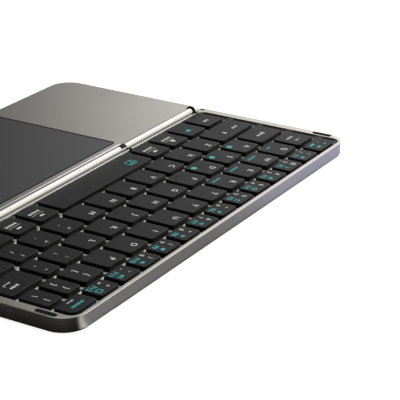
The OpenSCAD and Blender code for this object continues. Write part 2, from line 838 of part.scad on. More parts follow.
keyboard_frame();
key_deck();
keyboard_base();
switch_plate();
membrane();
rubber_domes();
scissor_links();
keyboard_feet();
rim_pads();
keyboard_screws();
keyboard_magnets();
hinge_knuckles();
hinge_pins();
touchpad_frame();
touchpad_surface();
touchpad_gasket();
sensor_board();
touchpad_base();
touchpad_feet();
touchpad_screws();
touchpad_magnets();
outer_barrels();
middle_barrel();
battery();
main_board();
charging_socket();
for (key_node = KEY_NODES)
    keys_of(key_node);
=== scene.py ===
import math

import bpy
import numpy as np
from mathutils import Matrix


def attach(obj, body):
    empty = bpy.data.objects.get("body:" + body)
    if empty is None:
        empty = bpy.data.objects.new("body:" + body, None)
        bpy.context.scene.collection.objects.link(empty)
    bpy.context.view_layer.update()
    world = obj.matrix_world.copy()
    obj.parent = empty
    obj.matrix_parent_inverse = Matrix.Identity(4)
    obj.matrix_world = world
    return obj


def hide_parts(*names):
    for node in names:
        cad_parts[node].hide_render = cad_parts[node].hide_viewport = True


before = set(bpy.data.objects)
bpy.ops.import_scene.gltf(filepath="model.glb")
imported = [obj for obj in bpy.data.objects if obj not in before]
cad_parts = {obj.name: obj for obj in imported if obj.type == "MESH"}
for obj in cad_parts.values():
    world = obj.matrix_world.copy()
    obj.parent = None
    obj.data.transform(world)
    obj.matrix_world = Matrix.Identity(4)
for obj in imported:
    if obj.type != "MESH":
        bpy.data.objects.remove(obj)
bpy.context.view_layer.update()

# ---------------------------------------------------------------------------
# Metal frames: the key half's rim and the touchpad half's top shell. Each is
# pressed and milled aluminium, glass-bead blasted and anodised warm silver.


def linear(hex_colour):
    """An sRGB hex value as linear red, green, blue and alpha."""
    c = np.array([int(hex_colour[i : i + 2], 16) for i in (1, 3, 5)]) / 255
    c = np.where(c <= 0.04045, c / 12.92, ((c + 0.055) / 1.055) ** 2.4)
    return (*map(float, c), 1.0)


def add(tree, kind, sockets=None, **settings):
    """Adds a node with its settings; a socket's value is a number, a vector or another
    node's output."""
    made = tree.nodes.new(kind)
    for name, value in settings.items():
        setattr(made, name, value)
    for name, value in (sockets or {}).items():
        if isinstance(value, bpy.types.NodeSocket):
            tree.links.new(value, made.inputs[name])
        else:
            made.inputs[name].default_value = value
    return made


def new_material(name):
    """An empty material: its node tree and its object coordinates, in metres."""
    made = bpy.data.materials.new(name)
    made.use_nodes = True
    made.node_tree.nodes.clear()
    place = add(made.node_tree, "ShaderNodeTexCoord")
    return made, made.node_tree, place.outputs["Object"]


def finish_material(made, surface):
    """Links the last shader to the material's output."""
    tree = made.node_tree
    end = add(tree, "ShaderNodeOutputMaterial")
    tree.links.new(surface.outputs[0], end.inputs["Surface"])
    return made


def anodised_aluminium(name, light, dark, roughness, edge):
    """Blasted or milled aluminium under its anodic film: a matt metal whose fine grit
    sparkles a little and whose colour drifts slightly over a few centimetres. Its sharp
    edges are worn round by the radius edge."""
    made, tree, place = new_material(name)
    # Blasting grit is 0.1 mm; it is drawn 0.35 mm coarse so that it shows
    grit_size, grit_depth, grit_strength = 0.00035, 0.00004, 0.12
    drift_size, smoother, duller = 0.05, 0.04, 0.05
    grit = add(tree, "ShaderNodeTexNoise", {"Vector": place, "Scale": 1 / grit_size, "Detail": 2.0})
    drift = add(tree, "ShaderNodeTexNoise", {"Vector": place, "Scale": 1 / drift_size, "Detail": 3.0})
    tone = add(tree, "ShaderNodeValToRGB", {"Fac": drift.outputs["Fac"]})
    tone.color_ramp.elements[0].color = linear(dark)
    tone.color_ramp.elements[1].color = linear(light)
    rough = add(
        tree,
        "ShaderNodeMapRange",
        {"Value": grit.outputs["Fac"], "To Min": roughness - smoother, "To Max": roughness + duller},
    )
    worn = add(tree, "ShaderNodeBevel", {"Radius": edge}, samples=8)
    bump = add(
        tree,
        "ShaderNodeBump",
        {
            "Height": grit.outputs["Fac"],
            "Strength": grit_strength,
            "Distance": grit_depth,
            "Normal": worn.outputs["Normal"],
        },
    )
    surface = add(
        tree,
        "ShaderNodeBsdfPrincipled",
        {
            "Base Color": tone.outputs["Color"],
            "Metallic": 1.0,
            "Roughness": rough.outputs["Result"],
            "Normal": bump.outputs["Normal"],
        },
    )
    return finish_material(made, surface)


def dress(node, material):
    """Gives a CAD node its material."""
    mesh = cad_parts[node].data
    mesh.materials.clear()
    mesh.materials.append(material)


blasted_edge, milled_edge = 0.0002, 0.0006
silver_aluminium = anodised_aluminium(
    "blasted anodised aluminium", "#c9c5be", "#bdb8b1", 0.29, blasted_edge
)
for node in ("keyboard_frame", "touchpad_frame"):
    dress(node, silver_aluminium)

# The key deck and the pocket walls that face the keys keep the duller milled surface, in a lighter
# colour that is painted light: it brightens them where they lie in shade among the keys
milled_lightened_aluminium = anodised_aluminium(
    "milled anodised aluminium", "#f0eeea", "#e4e2dd", 0.5, milled_edge
)
dress("key_deck", milled_lightened_aluminium)
pocket_side, pocket_front, pocket_back, pocket_top = 0.1225, 0.0034, 0.0888, 0.00745
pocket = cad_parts["keyboard_frame"].data
pocket.materials.append(milled_lightened_aluminium)
for face in pocket.polygons:
    x, y, z = face.center
    among_keys = abs(x) < pocket_side and pocket_front < y < pocket_back
    face.material_index = int(among_keys and z < pocket_top)

# ---------------------------------------------------------------------------
# Bottom covers: thin aluminium plates, blasted and dyed dark grey, each let
# into its frame and held by six small countersunk screws.

cover_aluminium = anodised_aluminium("dark anodised cover", "#55534f", "#4b4946", 0.42, blasted_edge)
for node in ("keyboard_base", "touchpad_base"):
    dress(node, cover_aluminium)

# ---------------------------------------------------------------------------
# Steel parts: turned screws and hinge pins, round magnets and the socket's
# drawn shell, all plated, and the pierced plate that carries the switches.


def plain_steel(name, colour, roughness, grain):
    """Steel with a rolled or turned surface: fine streaks of roughness along the width,
    many times longer than they are wide."""
    made, tree, place = new_material(name)
    finer, smoother, duller = 12.0, 0.06, 0.08
    stretch = add(tree, "ShaderNodeMapping", {"Vector": place, "Scale": (1.0, finer, finer)})
    streaks = add(
        tree,
        "ShaderNodeTexNoise",
        {"Vector": stretch.outputs["Vector"], "Scale": 1 / grain, "Detail": 4.0},
    )
    rough = add(
        tree,
        "ShaderNodeMapRange",
        {
            "Value": streaks.outputs["Fac"],
            "To Min": roughness - smoother,
            "To Max": roughness + duller,
        },
    )
    surface = add(
        tree,
        "ShaderNodeBsdfPrincipled",
        {"Base Color": linear(colour), "Metallic": 1.0, "Roughness": rough.outputs["Result"]},
    )
    return finish_material(made, surface)


turned_steel = plain_steel("turned zinc-plated steel", "#a9abae", 0.32, 0.004)
rolled_steel = plain_steel("cold-rolled sheet steel", "#9ea1a4", 0.38, 0.012)
for node in ("keyboard_screws", "touchpad_screws", "keyboard_magnets", "touchpad_magnets"):
    dress(node, turned_steel)
dress("hinge_pins", turned_steel)
dress("charging_socket", turned_steel)
dress("switch_plate", rolled_steel)

# ---------------------------------------------------------------------------
# Rubber: foot strips glued under both halves, four pads let into the rims of
# the key half, above which the touchpad half closes, and the ring round the pad.


def soft_skin(name, colour, roughness, gloss=0.5):
    """Rubber, plastic, lacquer or foil of one colour, with a soft uneven skin."""
    made, tree, place = new_material(name)
    wave, wave_depth, wave_strength = 0.0006, 0.00005, 0.25
    skin = add(tree, "ShaderNodeTexNoise", {"Vector": place, "Scale": 1 / wave, "Detail": 5.0})
    bump = add(
        tree,
        "ShaderNodeBump",
        {"Height": skin.outputs["Fac"], "Strength": wave_strength, "Distance": wave_depth},
    )
    surface = add(
        tree,
        "ShaderNodeBsdfPrincipled",
        {
            "Base Color": linear(colour),
            "Roughness": roughness,
            "IOR": 1.52,
            "Specular IOR Level": gloss,
            "Normal": bump.outputs["Normal"],
        },
    )
    return finish_material(made, surface)


black_rubber = soft_skin("matt black rubber", "#0a0a0a", 0.75, 0.12)
for node in ("keyboard_feet", "touchpad_feet", "rim_pads", "touchpad_gasket"):
    dress(node, black_rubber)

# ---------------------------------------------------------------------------
# Switches under the keys: a printed film on the steel plate, silicone domes
# and crossed nylon links. Little of them shows once the keys are on.

# From key to key along a row, and from row to row
pitch, row_pitch = 0.018, 0.0184

contact_film, tree, place = new_material("printed polyester film")
tracks = add(tree, "ShaderNodeTexBrick", {"Vector": place, "Scale": 1 / pitch})
film_tone = add(
    tree,
    "ShaderNodeMapRange",
    {"Value": tracks.outputs["Fac"], "To Min": 0.25, "To Max": 0.45},
)
finish_material(
    contact_film,
    add(
        tree,
        "ShaderNodeBsdfPrincipled",
        {
            "Base Color": linear("#6f8a80"),
            "Roughness": film_tone.outputs["Result"],
            "IOR": 1.6,
        },
    ),
)
dress("membrane", contact_film)

silicone = soft_skin("milky silicone rubber", "#cfd0cc", 0.45)
dress("rubber_domes", silicone)

nylon = soft_skin("natural nylon", "#d2d2cc", 0.35)
dress("scissor_links", nylon)

# ---------------------------------------------------------------------------
# Keycaps: 64 moulded ABS caps with straight drafted sides, a rounded top edge
# and a hollow skirt. They are laid out in five rows from the hinge outwards.

gap, row_gap, arrow_gap = 0.00285, 0.00265, 0.001
row_units, number_depth = 13.564, 0.0109
# The sides lean in by the draft; the roof of the hollow lies under the flat top
cap_draft, cap_edge, cap_corner, end_corner, cap_wall = 0.00025, 0.00032, 0.0018, 0.004, 0.001
cap_top, cap_skirt, cap_roof = 0.0073, 0.0047, 0.0058
skirt_lip, flat_margin, least_corner, cap_points = 0.0001, 0.0006, 0.0003, 40
field_left, field_front = -(row_units * pitch - gap) / 2, 0.0044
z_row, a_row, q_row, number_row = 1, 2, 3, 4  # the bottom row is 0

# Owner node and width in key pitches; 0 shares what is left of the row
rows = [
    [("modifier_keys", 1.044)] + [("modifier_keys", 1)] * 3 + [("key_space", 4.556)]
    + [("modifier_keys", 1)] * 2 + [("arrow_keys", 0)] * 3,
    [("side_keys", 1.911)] + [("key_" + c, 1) for c in "zxcvbnm"]
    + [("punctuation_keys", 1)] * 3 + [("key_right_shift", 0)],
    [("side_keys", 1.414)] + [("key_" + c, 1) for c in "asdfghjkl"]
    + [("punctuation_keys", 1), ("punctuation_keys", 0.743), ("key_enter", 0)],
    [("side_keys", 1.033)] + [("key_" + c, 1) for c in "qwertyuiop"]
    + [("punctuation_keys", 1), ("punctuation_keys", 0.743), ("punctuation_keys", 0)],
    [("number_keys", 0)] + [("number_keys", 0.943)] * 12 + [("number_keys", 0)],
]
caps = []  # owner, row, column, centre x and y, width, depth
for r, row in enumerate(rows):
    shares = [units for _, units in row]
    rest = (row_units - sum(shares)) / max(shares.count(0), 1)
    left = field_left
    for c, (owner, units) in enumerate(row):
        width = (units or rest) * pitch - gap
        depth = number_depth if r == number_row else row_pitch - row_gap
        x, y = left + width / 2, field_front + r * row_pitch + depth / 2
        if owner == "arrow_keys" and c == len(row) - 2:
            half = (depth - arrow_gap) / 2
            caps.append((owner, r, c, x, y - (depth - half) / 2, width, half))
            caps.append((owner, r, c + 0.5, x, y + (depth - half) / 2, width, half))
        else:
            caps.append((owner, r, c, x, y, width, depth))
        left += (units or rest) * pitch


def rounded_ring(width, depth, radius, points, end, end_radius):
    """Points round a rectangle with round corners, anticlockwise from its right side: each
    quarter turn of an angle is a circle's arc pushed out to its own corner. The back corner
    on the end's side, 1 for right and -1 for left, has its own radius."""
    turn = (np.arange(points) + 0.5) * 2 * np.pi / points
    radius = np.where((np.sin(turn) > 0) & (np.cos(turn) * end > 0), end_radius, radius)
    side_x = np.where(np.cos(turn) >= 0, 1, -1) * (width / 2 - radius)
    side_y = np.where(np.sin(turn) >= 0, 1, -1) * (depth / 2 - radius)
    return np.stack([side_x + radius * np.cos(turn), side_y + radius * np.sin(turn)], 1)


def keycap(row, column, x, y, width, depth):
    """A stack of rounded rings: from the roof of the hollow down its inside, under the skirt,
    up the drafted outside and over the edge, which is a quarter circle. Both ends close
    with a fan on a middle point."""
    bend = np.linspace(0, np.pi / 2, 5)
    inset = np.concatenate([
        [cap_draft + cap_wall, cap_draft + cap_wall, 0.0, 0.0],
        cap_draft + cap_edge * (1 - np.cos(bend)),
        [cap_draft + cap_edge + flat_margin],
    ])
    height = np.concatenate([
        [cap_roof, cap_skirt, cap_skirt, cap_skirt + skirt_lip],
        cap_top - cap_edge + cap_edge * np.sin(bend),
        [cap_top],
    ])
    points = cap_points
    end = {0: -1, 13: 1}.get(column, 0) if row == number_row else 0
    rings = []
    for step, level in zip(inset, height):
        size = width + 2 * (cap_draft - step), depth + 2 * (cap_draft - step)
        corner = max(cap_corner - step, least_corner)
        flat = rounded_ring(*size, corner, points, end, end_corner - step)
        rings.append(np.column_stack([flat + (x, y), np.full(points, level)]))
    verts = np.concatenate(rings + [[[x, y, cap_roof], [x, y, cap_top]]])
    i = np.arange(len(inset) - 1)[:, None] * points
    j = np.arange(points)[None, :]
    k = (j + 1) % points
    walls = np.stack([i + j, i + k, i + points + k, i + points + j], -1).reshape(-1, 4)
    last = (len(inset) - 1) * points
    low = np.stack([k[0], j[0], np.full(points, len(verts) - 2)], 1)
    high = np.stack([last + j[0], last + k[0], np.full(points, len(verts) - 1)], 1)
    return verts, walls.tolist() + low.tolist() + high.tolist()


def joined(parts):
    """Several (points, faces) as one."""
    verts, faces, start = [], [], 0
    for points, polygons in parts:
        verts.append(np.asarray(points))
        faces += [[v + start for v in f] for f in polygons]
        start += len(points)
    return np.concatenate(verts), faces


def piece(name, verts, faces, materials, which=None):
    """A new mesh object in place, with each face's material number in which."""
    mesh = bpy.data.meshes.new(name)
    mesh.from_pydata(np.asarray(verts).tolist(), [], faces)
    for material in materials:
        mesh.materials.append(material)
    if which is not None:
        mesh.polygons.foreach_set("material_index", np.asarray(which, dtype=np.int32))
    mesh.update()
    made = bpy.data.objects.new(name, mesh)
    bpy.context.scene.collection.objects.link(made)
    return made


moulded_abs, tree, place = new_material("spark-textured black ABS")
# A spark-eroded mould leaves pits of 0.05 mm; they are drawn 0.25 mm coarse
pit_size, pit_depth, wear_size = 0.00025, 0.00004, 0.012
pits = add(tree, "ShaderNodeTexNoise", {"Vector": place, "Scale": 1 / pit_size, "Detail": 3.0})
wear = add(tree, "ShaderNodeTexNoise", {"Vector": place, "Scale": 1 / wear_size, "Detail": 2.0})
sheen = add(
    tree,
    "ShaderNodeMapRange",
    {"Value": wear.outputs["Fac"], "To Min": 0.40, "To Max": 0.50},
)
pitted = add(
    tree,
    "ShaderNodeBump",
    {"Height": pits.outputs["Fac"], "Strength": 0.15, "Distance": pit_depth},
)
finish_material(
    moulded_abs,
    add(
        tree,
        "ShaderNodeBsdfPrincipled",
        {
            "Base Color": linear("#070707"),
            "Roughness": sheen.outputs["Result"],
            "IOR": 1.53,
            "Specular IOR Level": 0.165,
            "Normal": pitted.outputs["Normal"],
        },
    ),
)

for owner in sorted({cap[0] for cap in caps}):
    verts, faces = joined([keycap(*cap[1:]) for cap in caps if cap[0] == owner])
    cap_piece = piece(owner + "_caps", verts, faces, [moulded_abs])
    cap_piece.data.shade_smooth()
    cap_piece.data.set_sharp_from_angle(angle=math.radians(35))
    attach(cap_piece, owner)
    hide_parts(owner)

# ---------------------------------------------------------------------------
# Homing bars: low ridges on F and J, moulded in one with their caps, by which
# the forefingers find their place. They sink a little into the flat top.

bar_length, bar_width, bar_height, bar_sink = 0.0038, 0.0007, 0.00035, 0.00002
bar_right, bar_forward = 0.0005, 0.005
around, levels = 24, 5
u, v = np.meshgrid(
    np.linspace(0, 2 * np.pi, around, endpoint=False), np.linspace(0, np.pi / 2, levels)
)


def homing_bar(x, y):
    """Half a ball, from a circle of directions u and a rise v, whose left and right halves
    are pushed apart so that a straight ridge joins them."""
    apart = np.sign(np.cos(u)) * (bar_length - bar_width) / 2
    px = x + apart + bar_width / 2 * np.cos(u) * np.cos(v)
    py = y + bar_width / 2 * np.sin(u) * np.cos(v)
    pz = cap_top - bar_sink + bar_height * np.sin(v)
    verts = np.stack([px, py, pz], -1).reshape(-1, 3)
    i, j = np.meshgrid(np.arange(levels - 1) * around, np.arange(around), indexing="ij")
    k = (j + 1) % around
    walls = np.stack([i + j, i + k, i + around + k, i + around + j], -1)
    return verts, walls.reshape(-1, 4).tolist()


for letter in "fj":
    cap = next(c for c in caps if c[0] == "key_" + letter)
    ridge = homing_bar(cap[3] + bar_right, cap[4] - bar_forward)
    ridge_piece = piece("homing_bar_" + letter, *ridge, [moulded_abs])
    ridge_piece.data.shade_smooth()
    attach(ridge_piece, "key_" + letter)

# ---------------------------------------------------------------------------
# Key prints: white characters for the plain keys and teal marks for the second
# functions, pad-printed on the flat tops. Where a word would stand, there is a
# plain arrow or a row of short bars.

white, teal = 0, 1
ink_lift, speck_size = 0.00002, 0.0002


def printing_ink(name, colour):
    """Pad-printed ink: a thin matt film."""
    made, tree, place = new_material(name)
    speck = add(tree, "ShaderNodeTexNoise", {"Vector": place, "Scale": 1 / speck_size, "Detail": 2.0})
    rough = add(
        tree,
        "ShaderNodeMapRange",
        {"Value": speck.outputs["Fac"], "To Min": 0.5, "To Max": 0.65},
    )
    surface = add(
        tree,
        "ShaderNodeBsdfPrincipled",
        {"Base Color": linear(colour), "Roughness": rough.outputs["Result"], "IOR": 1.49},
    )
    return finish_material(made, surface)


inks = [printing_ink("white key ink", "#f0f0ee"), printing_ink("teal key ink", "#35c6c2")]
capital_height, bolder = 0.7, 0.012
glyphs = {}


def glyph(text):
    """A plain sans-serif character as flat faces, capitals 1 high and centred on its own box."""
    if text not in glyphs:
        curve = bpy.data.curves.new("glyph", "FONT")
        curve.body, curve.resolution_u, curve.offset = text, 3, bolder
        shape = bpy.data.objects.new("glyph", curve)
        bpy.context.scene.collection.objects.link(shape)
        drawn = shape.evaluated_get(bpy.context.evaluated_depsgraph_get())
        mesh = drawn.to_mesh()
        points = np.array([v.co[:2] for v in mesh.vertices]) / capital_height
        faces = [list(f.vertices) for f in mesh.polygons]
        drawn.to_mesh_clear()
        bpy.data.objects.remove(shape)
        bpy.data.curves.remove(curve)
        middle = (points.min(0) + points.max(0)) / 2
        glyphs[text] = (points - middle, faces)
    return glyphs[text]


def outline(*corners):
    """A flat polygon through these corners, anticlockwise."""
    return np.array(corners, float), [list(range(len(corners)))]


def bar(width, height, x=0.0, y=0.0):
    """A flat rectangle about a point."""
    w, h = width / 2, height / 2
    return outline((x - w, y - h), (x + w, y - h), (x + w, y + h), (x - w, y + h))


def disc(radius, x=0.0, y=0.0, hole=0.0):
    """A round spot, or a ring where it has a hole: two circles joined by strips."""
    points = 20
    j = np.arange(points)
    turn = j * 2 * np.pi / points
    rim = np.stack([np.cos(turn), np.sin(turn)], 1)
    if not hole:
        return rim * radius + (x, y), [j.tolist()]
    k = (j + 1) % points
    strips = np.stack([j, k, points + k, points + j], 1)
    return np.concatenate([rim * radius, rim * hole]) + (x, y), strips.tolist()


def arrow(length, thick=0.35, head=0.9, turn=0.0):
    """A plain arrow: a shaft and a triangle, pointing left before it is turned."""
    tip, back = -length / 2, length / 2
    parts = joined([
        bar(length - head, thick, head / 2),
        outline((tip, 0), (tip + head, -head * 0.7), (tip + head, head * 0.7)),
    ])
    c, s = math.cos(turn), math.sin(turn)
    return parts[0] @ np.array([[c, s], [-s, c]]), parts[1]


def moved(shape, x, y, size=1.0):
    """The same shape in another place and size."""
    return shape[0] * size + (x, y), shape[1]


def dashes(length, height):
    """A row of short bars, tall and low in turn, for a place where a word would stand."""
    letter_step, inked, low = 1.5, 0.62, 0.75
    count = max(2, round(length / letter_step))
    step = length / count
    return joined([
        bar(step * inked, height * (low if i % 2 else 1.0), step * (i + 0.5 - count / 2))
        for i in range(count)
    ])


# The small icons of the second functions: plain geometric signs
horn = outline((-1.0, -0.4), (0.1, -0.9), (0.1, 0.9), (-1.0, 0.4))
loud_horn = outline((-1.2, -0.4), (-0.1, -0.9), (-0.1, 0.9), (-1.2, 0.4))
icons = [
    bar(1.9, 1.3),
    disc(0.9),
    joined([disc(0.7), bar(0.5, 2.2)]),
    joined([bar(0.5, 1.2, -0.7, -0.4), bar(0.5, 1.7, 0, -0.1), bar(0.5, 2.2, 0.7, 0.1)]),
    disc(1.1, hole=0.6),
    joined([bar(1.9, 0.5, 0, 0.6), bar(1.9, 0.5, 0, -0.6)]),
    outline((-1.0, 0), (0.8, -0.9), (0.8, 0.9)),
    joined([bar(0.55, 1.8, -0.5), bar(0.55, 1.8, 0.5)]),
    outline((1.0, 0), (-0.8, 0.9), (-0.8, -0.9)),
    outline((-0.9, -0.5), (0.9, -0.9), (0.9, 0.9), (-0.9, 0.5)),
    joined([horn, bar(0.35, 1.6, 0.8)]),
    joined([loud_horn, bar(0.35, 1.2, 0.5), bar(0.35, 2.0, 1.2)]),
    joined([bar(2.6, 0.4, 0, 1.0), bar(2.6, 0.4, 0, -1.0), bar(0.4, 2.4, -1.2), bar(0.4, 2.4, 1.2)]),
]


def prints(cap_row, column, depth):
    """The marks on one key top, in millimetres from its middle: shape, ink."""
    back = depth * 1000 / 2
    if cap_row == number_row:
        if column == 13:
            return [(moved(dashes(8.6, 1.5), 0.2, 1.3), teal), (moved(arrow(4.6), 0, -2.7), white)]
        pairs = ["~`", "!1", "@2", "#3", "$4", "%5", "^6", "&7", "*8", "(9", ")0", "_-", "+="]
        lower = bar(3.4, 1.2) if column == 0 else glyph("F%d" % column)
        return [
            (moved(glyph(pairs[column][0]), -2.9, 2.1, 2.2), white),
            (moved(glyph(pairs[column][1]), -2.9, -2.5, 2.3), white),
            (moved(icons[column], 3.4, 1.9, 1.25), teal),
            (moved(lower, 3.4, -2.2, 1.2 if column == 0 else 2.7), teal),
        ]
    if cap_row == q_row:
        if column == 0:
            tab = joined([arrow(3.6, turn=math.pi), bar(0.35, 1.8, 2.1)])
            return [(moved(tab, 0, 3.1), white), (moved(dashes(6.0, 1.5), 0.8, -1.6), white)]
        if column > 10:
            upper, lower = ["{[", "}]", "|\\"][column - 11]
            return [
                (moved(glyph(upper), 0.6, 4.0, 2.7), white),
                (moved(glyph(lower), 0.6, -2.4, 2.7), white),
            ]
        marks = [(moved(glyph("QWERTYUIOP"[column - 1]), -1.2, back - 3.9, 3.0), white)]
        if column == 1:
            marks.append((moved(dashes(3.6, 1.3), 1.8, -3.8), teal))
        if 1 < column < 5:
            marks.append((moved(dashes(7.4, 1.4), 1.7, -4.0), teal))
        return marks
    if cap_row == a_row:
        if column == 0:
            lock = joined([moved(arrow(3.0, 0.9, 1.6, -math.pi / 2), -3.6, 0), dashes(5.0, 1.5)])
            return [(moved(lock, 1.6, 0.9), white)]
        if column == 12:
            bent = joined([arrow(5.2), bar(0.35, 1.6, 2.5, 0.7)])
            return [(moved(dashes(5.8, 1.6), 2.9, 2.9), white), (moved(bent, 2.9, -1.4), white)]
        if column > 9:
            upper, lower = [":;", "\"'"][column - 10]
            return [
                (moved(glyph(upper), 0.9, 4.2, 2.2), white),
                (moved(glyph(lower), 0.9, -2.0, 2.4), white),
            ]
        marks = [(moved(glyph("ASDFGHJKL"[column - 1]), -1.2, back - 3.9, 3.0), white)]
        if column < 4:
            marks.append((disc(1.6, 4.4, -3.5), teal))
        return marks
    if cap_row == z_row:
        if column in (0, 11):
            side = 6.4 if column == 0 else 2.0
            raised = arrow(3.0, 0.9, 1.6, -math.pi / 2)
            return [
                (moved(dashes(5.0, 1.6), -side, 1.8), white),
                (moved(raised, side - 2.0, 2.0), white),
            ]
        if column > 7:
            upper, lower = ["<,", ">.", "?/"][column - 8]
            return [
                (moved(glyph(upper), 1.2, 5.0, 2.2), white),
                (moved(glyph(lower), 1.2, -1.0, 2.4), white),
            ]
        return [(moved(glyph("ZXCVBNM"[column - 1]), -1.2, back - 3.9, 3.0), white)]
    if column == 0:
        return [(moved(dashes(4.6, 1.6), 0.9, 1.8), white)]
    if column == 1:
        return [(moved(joined([disc(1.3, -0.6), bar(1.8, 1.0, 1.2)]), 1.4, 2.0), teal)]
    if column in (2, 3, 5, 6):
        signs = {
            2: outline((0, 1.7), (-1.9, -1.5), (1.9, -1.5)),
            3: bar(3.4, 1.4),
            5: bar(3.0, 1.1),
            6: bar(3.2, 1.2),
        }
        return [
            (moved(signs[column], 0.8, 3.6), white),
            (bar(8.6, 0.22, 0.8, 1.0), white),
            (moved(dashes(8.2, 1.7), 0.8, -1.3), white),
        ]
    if column == 4:
        screen = joined([
            bar(6.6, 0.5, 0, 2.2), bar(6.6, 0.5, 0, -2.2),
            bar(0.5, 4.9, -3.05), bar(0.5, 4.9, 3.05),
            outline((-2.9, -2.2), (-2.3, -2.2), (2.9, 2.2), (2.3, 2.2)),
            bar(2.2, 0.9, -0.9, 0.9),
        ])
        return [(moved(screen, -28.6, 1.7), teal)]
    turns = {7: 0.0, 8: math.pi / 2, 8.5: -math.pi / 2, 9: math.pi}
    return [(moved(arrow(2.6, 0.4, 1.2, turns[column]), 0, 0), white)]


for owner in sorted({cap[0] for cap in caps}):
    shapes, which = [], []
    for _, cap_row, column, x, y, width, depth in [cap for cap in caps if cap[0] == owner]:
        for (points, faces), ink in prints(cap_row, column, depth):
            level = np.full(len(points), cap_top + ink_lift)
            placed = np.column_stack([points / 1000 + (x, y), level])
            shapes.append((placed, faces))
            which += [ink] * len(faces)
    printed = piece(owner + "_prints", *joined(shapes), inks, which)
    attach(printed, owner)

# ---------------------------------------------------------------------------
# Hinge: polished aluminium barrels on the touchpad half turn on steel pins held
# by two knuckles and two thin end discs of the key half, cast in zinc and
# lacquered black.

# Drawing leaves lines along the barrels, fifty times longer than they are wide
line_width, line_stretch = 0.0003, 50
polished_aluminium, tree, place = new_material("polished aluminium")
lines = add(tree, "ShaderNodeMapping", {"Vector": place, "Scale": (1 / line_stretch, 1.0, 1.0)})
scratches = add(
    tree,
    "ShaderNodeTexNoise",
    {"Vector": lines.outputs["Vector"], "Scale": 1 / line_width, "Detail": 3.0},
)
polish = add(
    tree,
    "ShaderNodeMapRange",
    {"Value": scratches.outputs["Fac"], "To Min": 0.13, "To Max": 0.22},
)
# The flange is ground to a short steep slope and then a long gentle one, 0.3 mm in
# all, that lead down to the barrel
flange_front, flange_back, flange_drop = -0.0051, -0.0024, 0.0003
knee_place, knee_height = 0.11, 0.5
across = add(tree, "ShaderNodeSeparateXYZ", {"Vector": place})
along_flange = add(
    tree,
    "ShaderNodeMapRange",
    {"Value": across.outputs["Y"], "From Min": flange_front, "From Max": flange_back},
)
slope = add(tree, "ShaderNodeValToRGB", {"Fac": along_flange.outputs["Result"]})
slope.color_ramp.elements[0].color = (1, 1, 1, 1)
slope.color_ramp.elements[1].color = (0, 0, 0, 1)
knee = slope.color_ramp.elements.new(knee_place)
knee.color = (knee_height, knee_height, knee_height, 1)
ground = add(tree, "ShaderNodeBump", {"Height": slope.outputs["Color"], "Distance": flange_drop})
finish_material(
    polished_aluminium,
    add(
        tree,
        "ShaderNodeBsdfPrincipled",
        {
            "Base Color": linear("#c6c3bd"),
            "Metallic": 1.0,
            "Roughness": polish.outputs["Result"],
            "Normal": ground.outputs["Normal"],
        },
    ),
)
for node in ("outer_barrels", "middle_barrel"):
    dress(node, polished_aluminium)

black_lacquer = soft_skin("black lacquered zinc", "#060606", 0.5, 0.1)
dress("hinge_knuckles", black_lacquer)

# Polished aluminium on the side of the inner knuckles that faces the keys is a painted reflection of
# the bright strip in the black lacquer. The side of the end discs that faces the touchpad half is
# polished aluminium too.
disc_from, bright_from, disc_bright, painted_reflection_from = 0.11, 0.0078, -0.0014, 0.0019
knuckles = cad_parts["hinge_knuckles"].data
knuckles.materials.append(polished_aluminium)
for face in knuckles.polygons:
    x, y, z = face.center
    bright_disc = abs(x) > disc_from and y < disc_bright
    painted_reflection_side = abs(x) < disc_from and y > painted_reflection_from
    face.material_index = int(z > bright_from and (bright_disc or painted_reflection_side))

# ---------------------------------------------------------------------------
# Touchpad: a thin etched glass plate, printed dark grey underneath with a matt
# black border, and glued to its sensor board inside the rubber ring.

etch_size, border_matt = 0.0003, 0.95
grey_half_width, grey_half_depth, pad_middle = 0.056, 0.0382, -0.0478
pad_plate, tree, place = new_material("satin etched pad glass")
etch = add(tree, "ShaderNodeTexNoise", {"Vector": place, "Scale": 1 / etch_size, "Detail": 2.0})
satin = add(
    tree,
    "ShaderNodeMapRange",
    {"Value": etch.outputs["Fac"], "To Min": 0.30, "To Max": 0.38},
)
# The black border is 0.8 mm wide: a spot is in it where it lies past the grey
# field's sides or past its front or back
spot = add(tree, "ShaderNodeSeparateXYZ", {"Vector": place})
wide = add(tree, "ShaderNodeMath", {0: spot.outputs["X"]}, operation="ABSOLUTE")
past_side = add(
    tree,
    "ShaderNodeMath",
    {0: wide.outputs[0], 1: grey_half_width},
    operation="SUBTRACT",
)
from_middle = add(
    tree,
    "ShaderNodeMath",
    {0: spot.outputs["Y"], 1: pad_middle},
    operation="SUBTRACT",
)
deep = add(tree, "ShaderNodeMath", {0: from_middle.outputs[0]}, operation="ABSOLUTE")
past_front = add(
    tree,
    "ShaderNodeMath",
    {0: deep.outputs[0], 1: grey_half_depth},
    operation="SUBTRACT",
)
past_grey = add(
    tree,
    "ShaderNodeMath",
    {0: past_side.outputs[0], 1: past_front.outputs[0]},
    operation="MAXIMUM",
)
border = add(tree, "ShaderNodeMath", {0: past_grey.outputs[0], 1: 0.0}, operation="GREATER_THAN")
pad_tone = add(tree, "ShaderNodeValToRGB", {"Fac": border.outputs[0]})
pad_tone.color_ramp.elements[0].color = linear("#383737")
pad_tone.color_ramp.elements[1].color = linear("#060606")
matt_border = add(
    tree,
    "ShaderNodeMath",
    {0: border.outputs[0], 1: border_matt},
    operation="MULTIPLY",
)
pad_matt = add(
    tree,
    "ShaderNodeMath",
    {0: satin.outputs["Result"], 1: matt_border.outputs[0]},
    operation="MAXIMUM",
)
finish_material(
    pad_plate,
    add(
        tree,
        "ShaderNodeBsdfPrincipled",
        {
            "Base Color": pad_tone.outputs["Color"],
            "Roughness": pad_matt.outputs[0],
            "IOR": 1.52,
        },
    ),
)
dress("touchpad_surface", pad_plate)

# ---------------------------------------------------------------------------
# Electronics inside the touchpad half: boards with green solder mask over
# copper, and a foil-wrapped lithium cell.

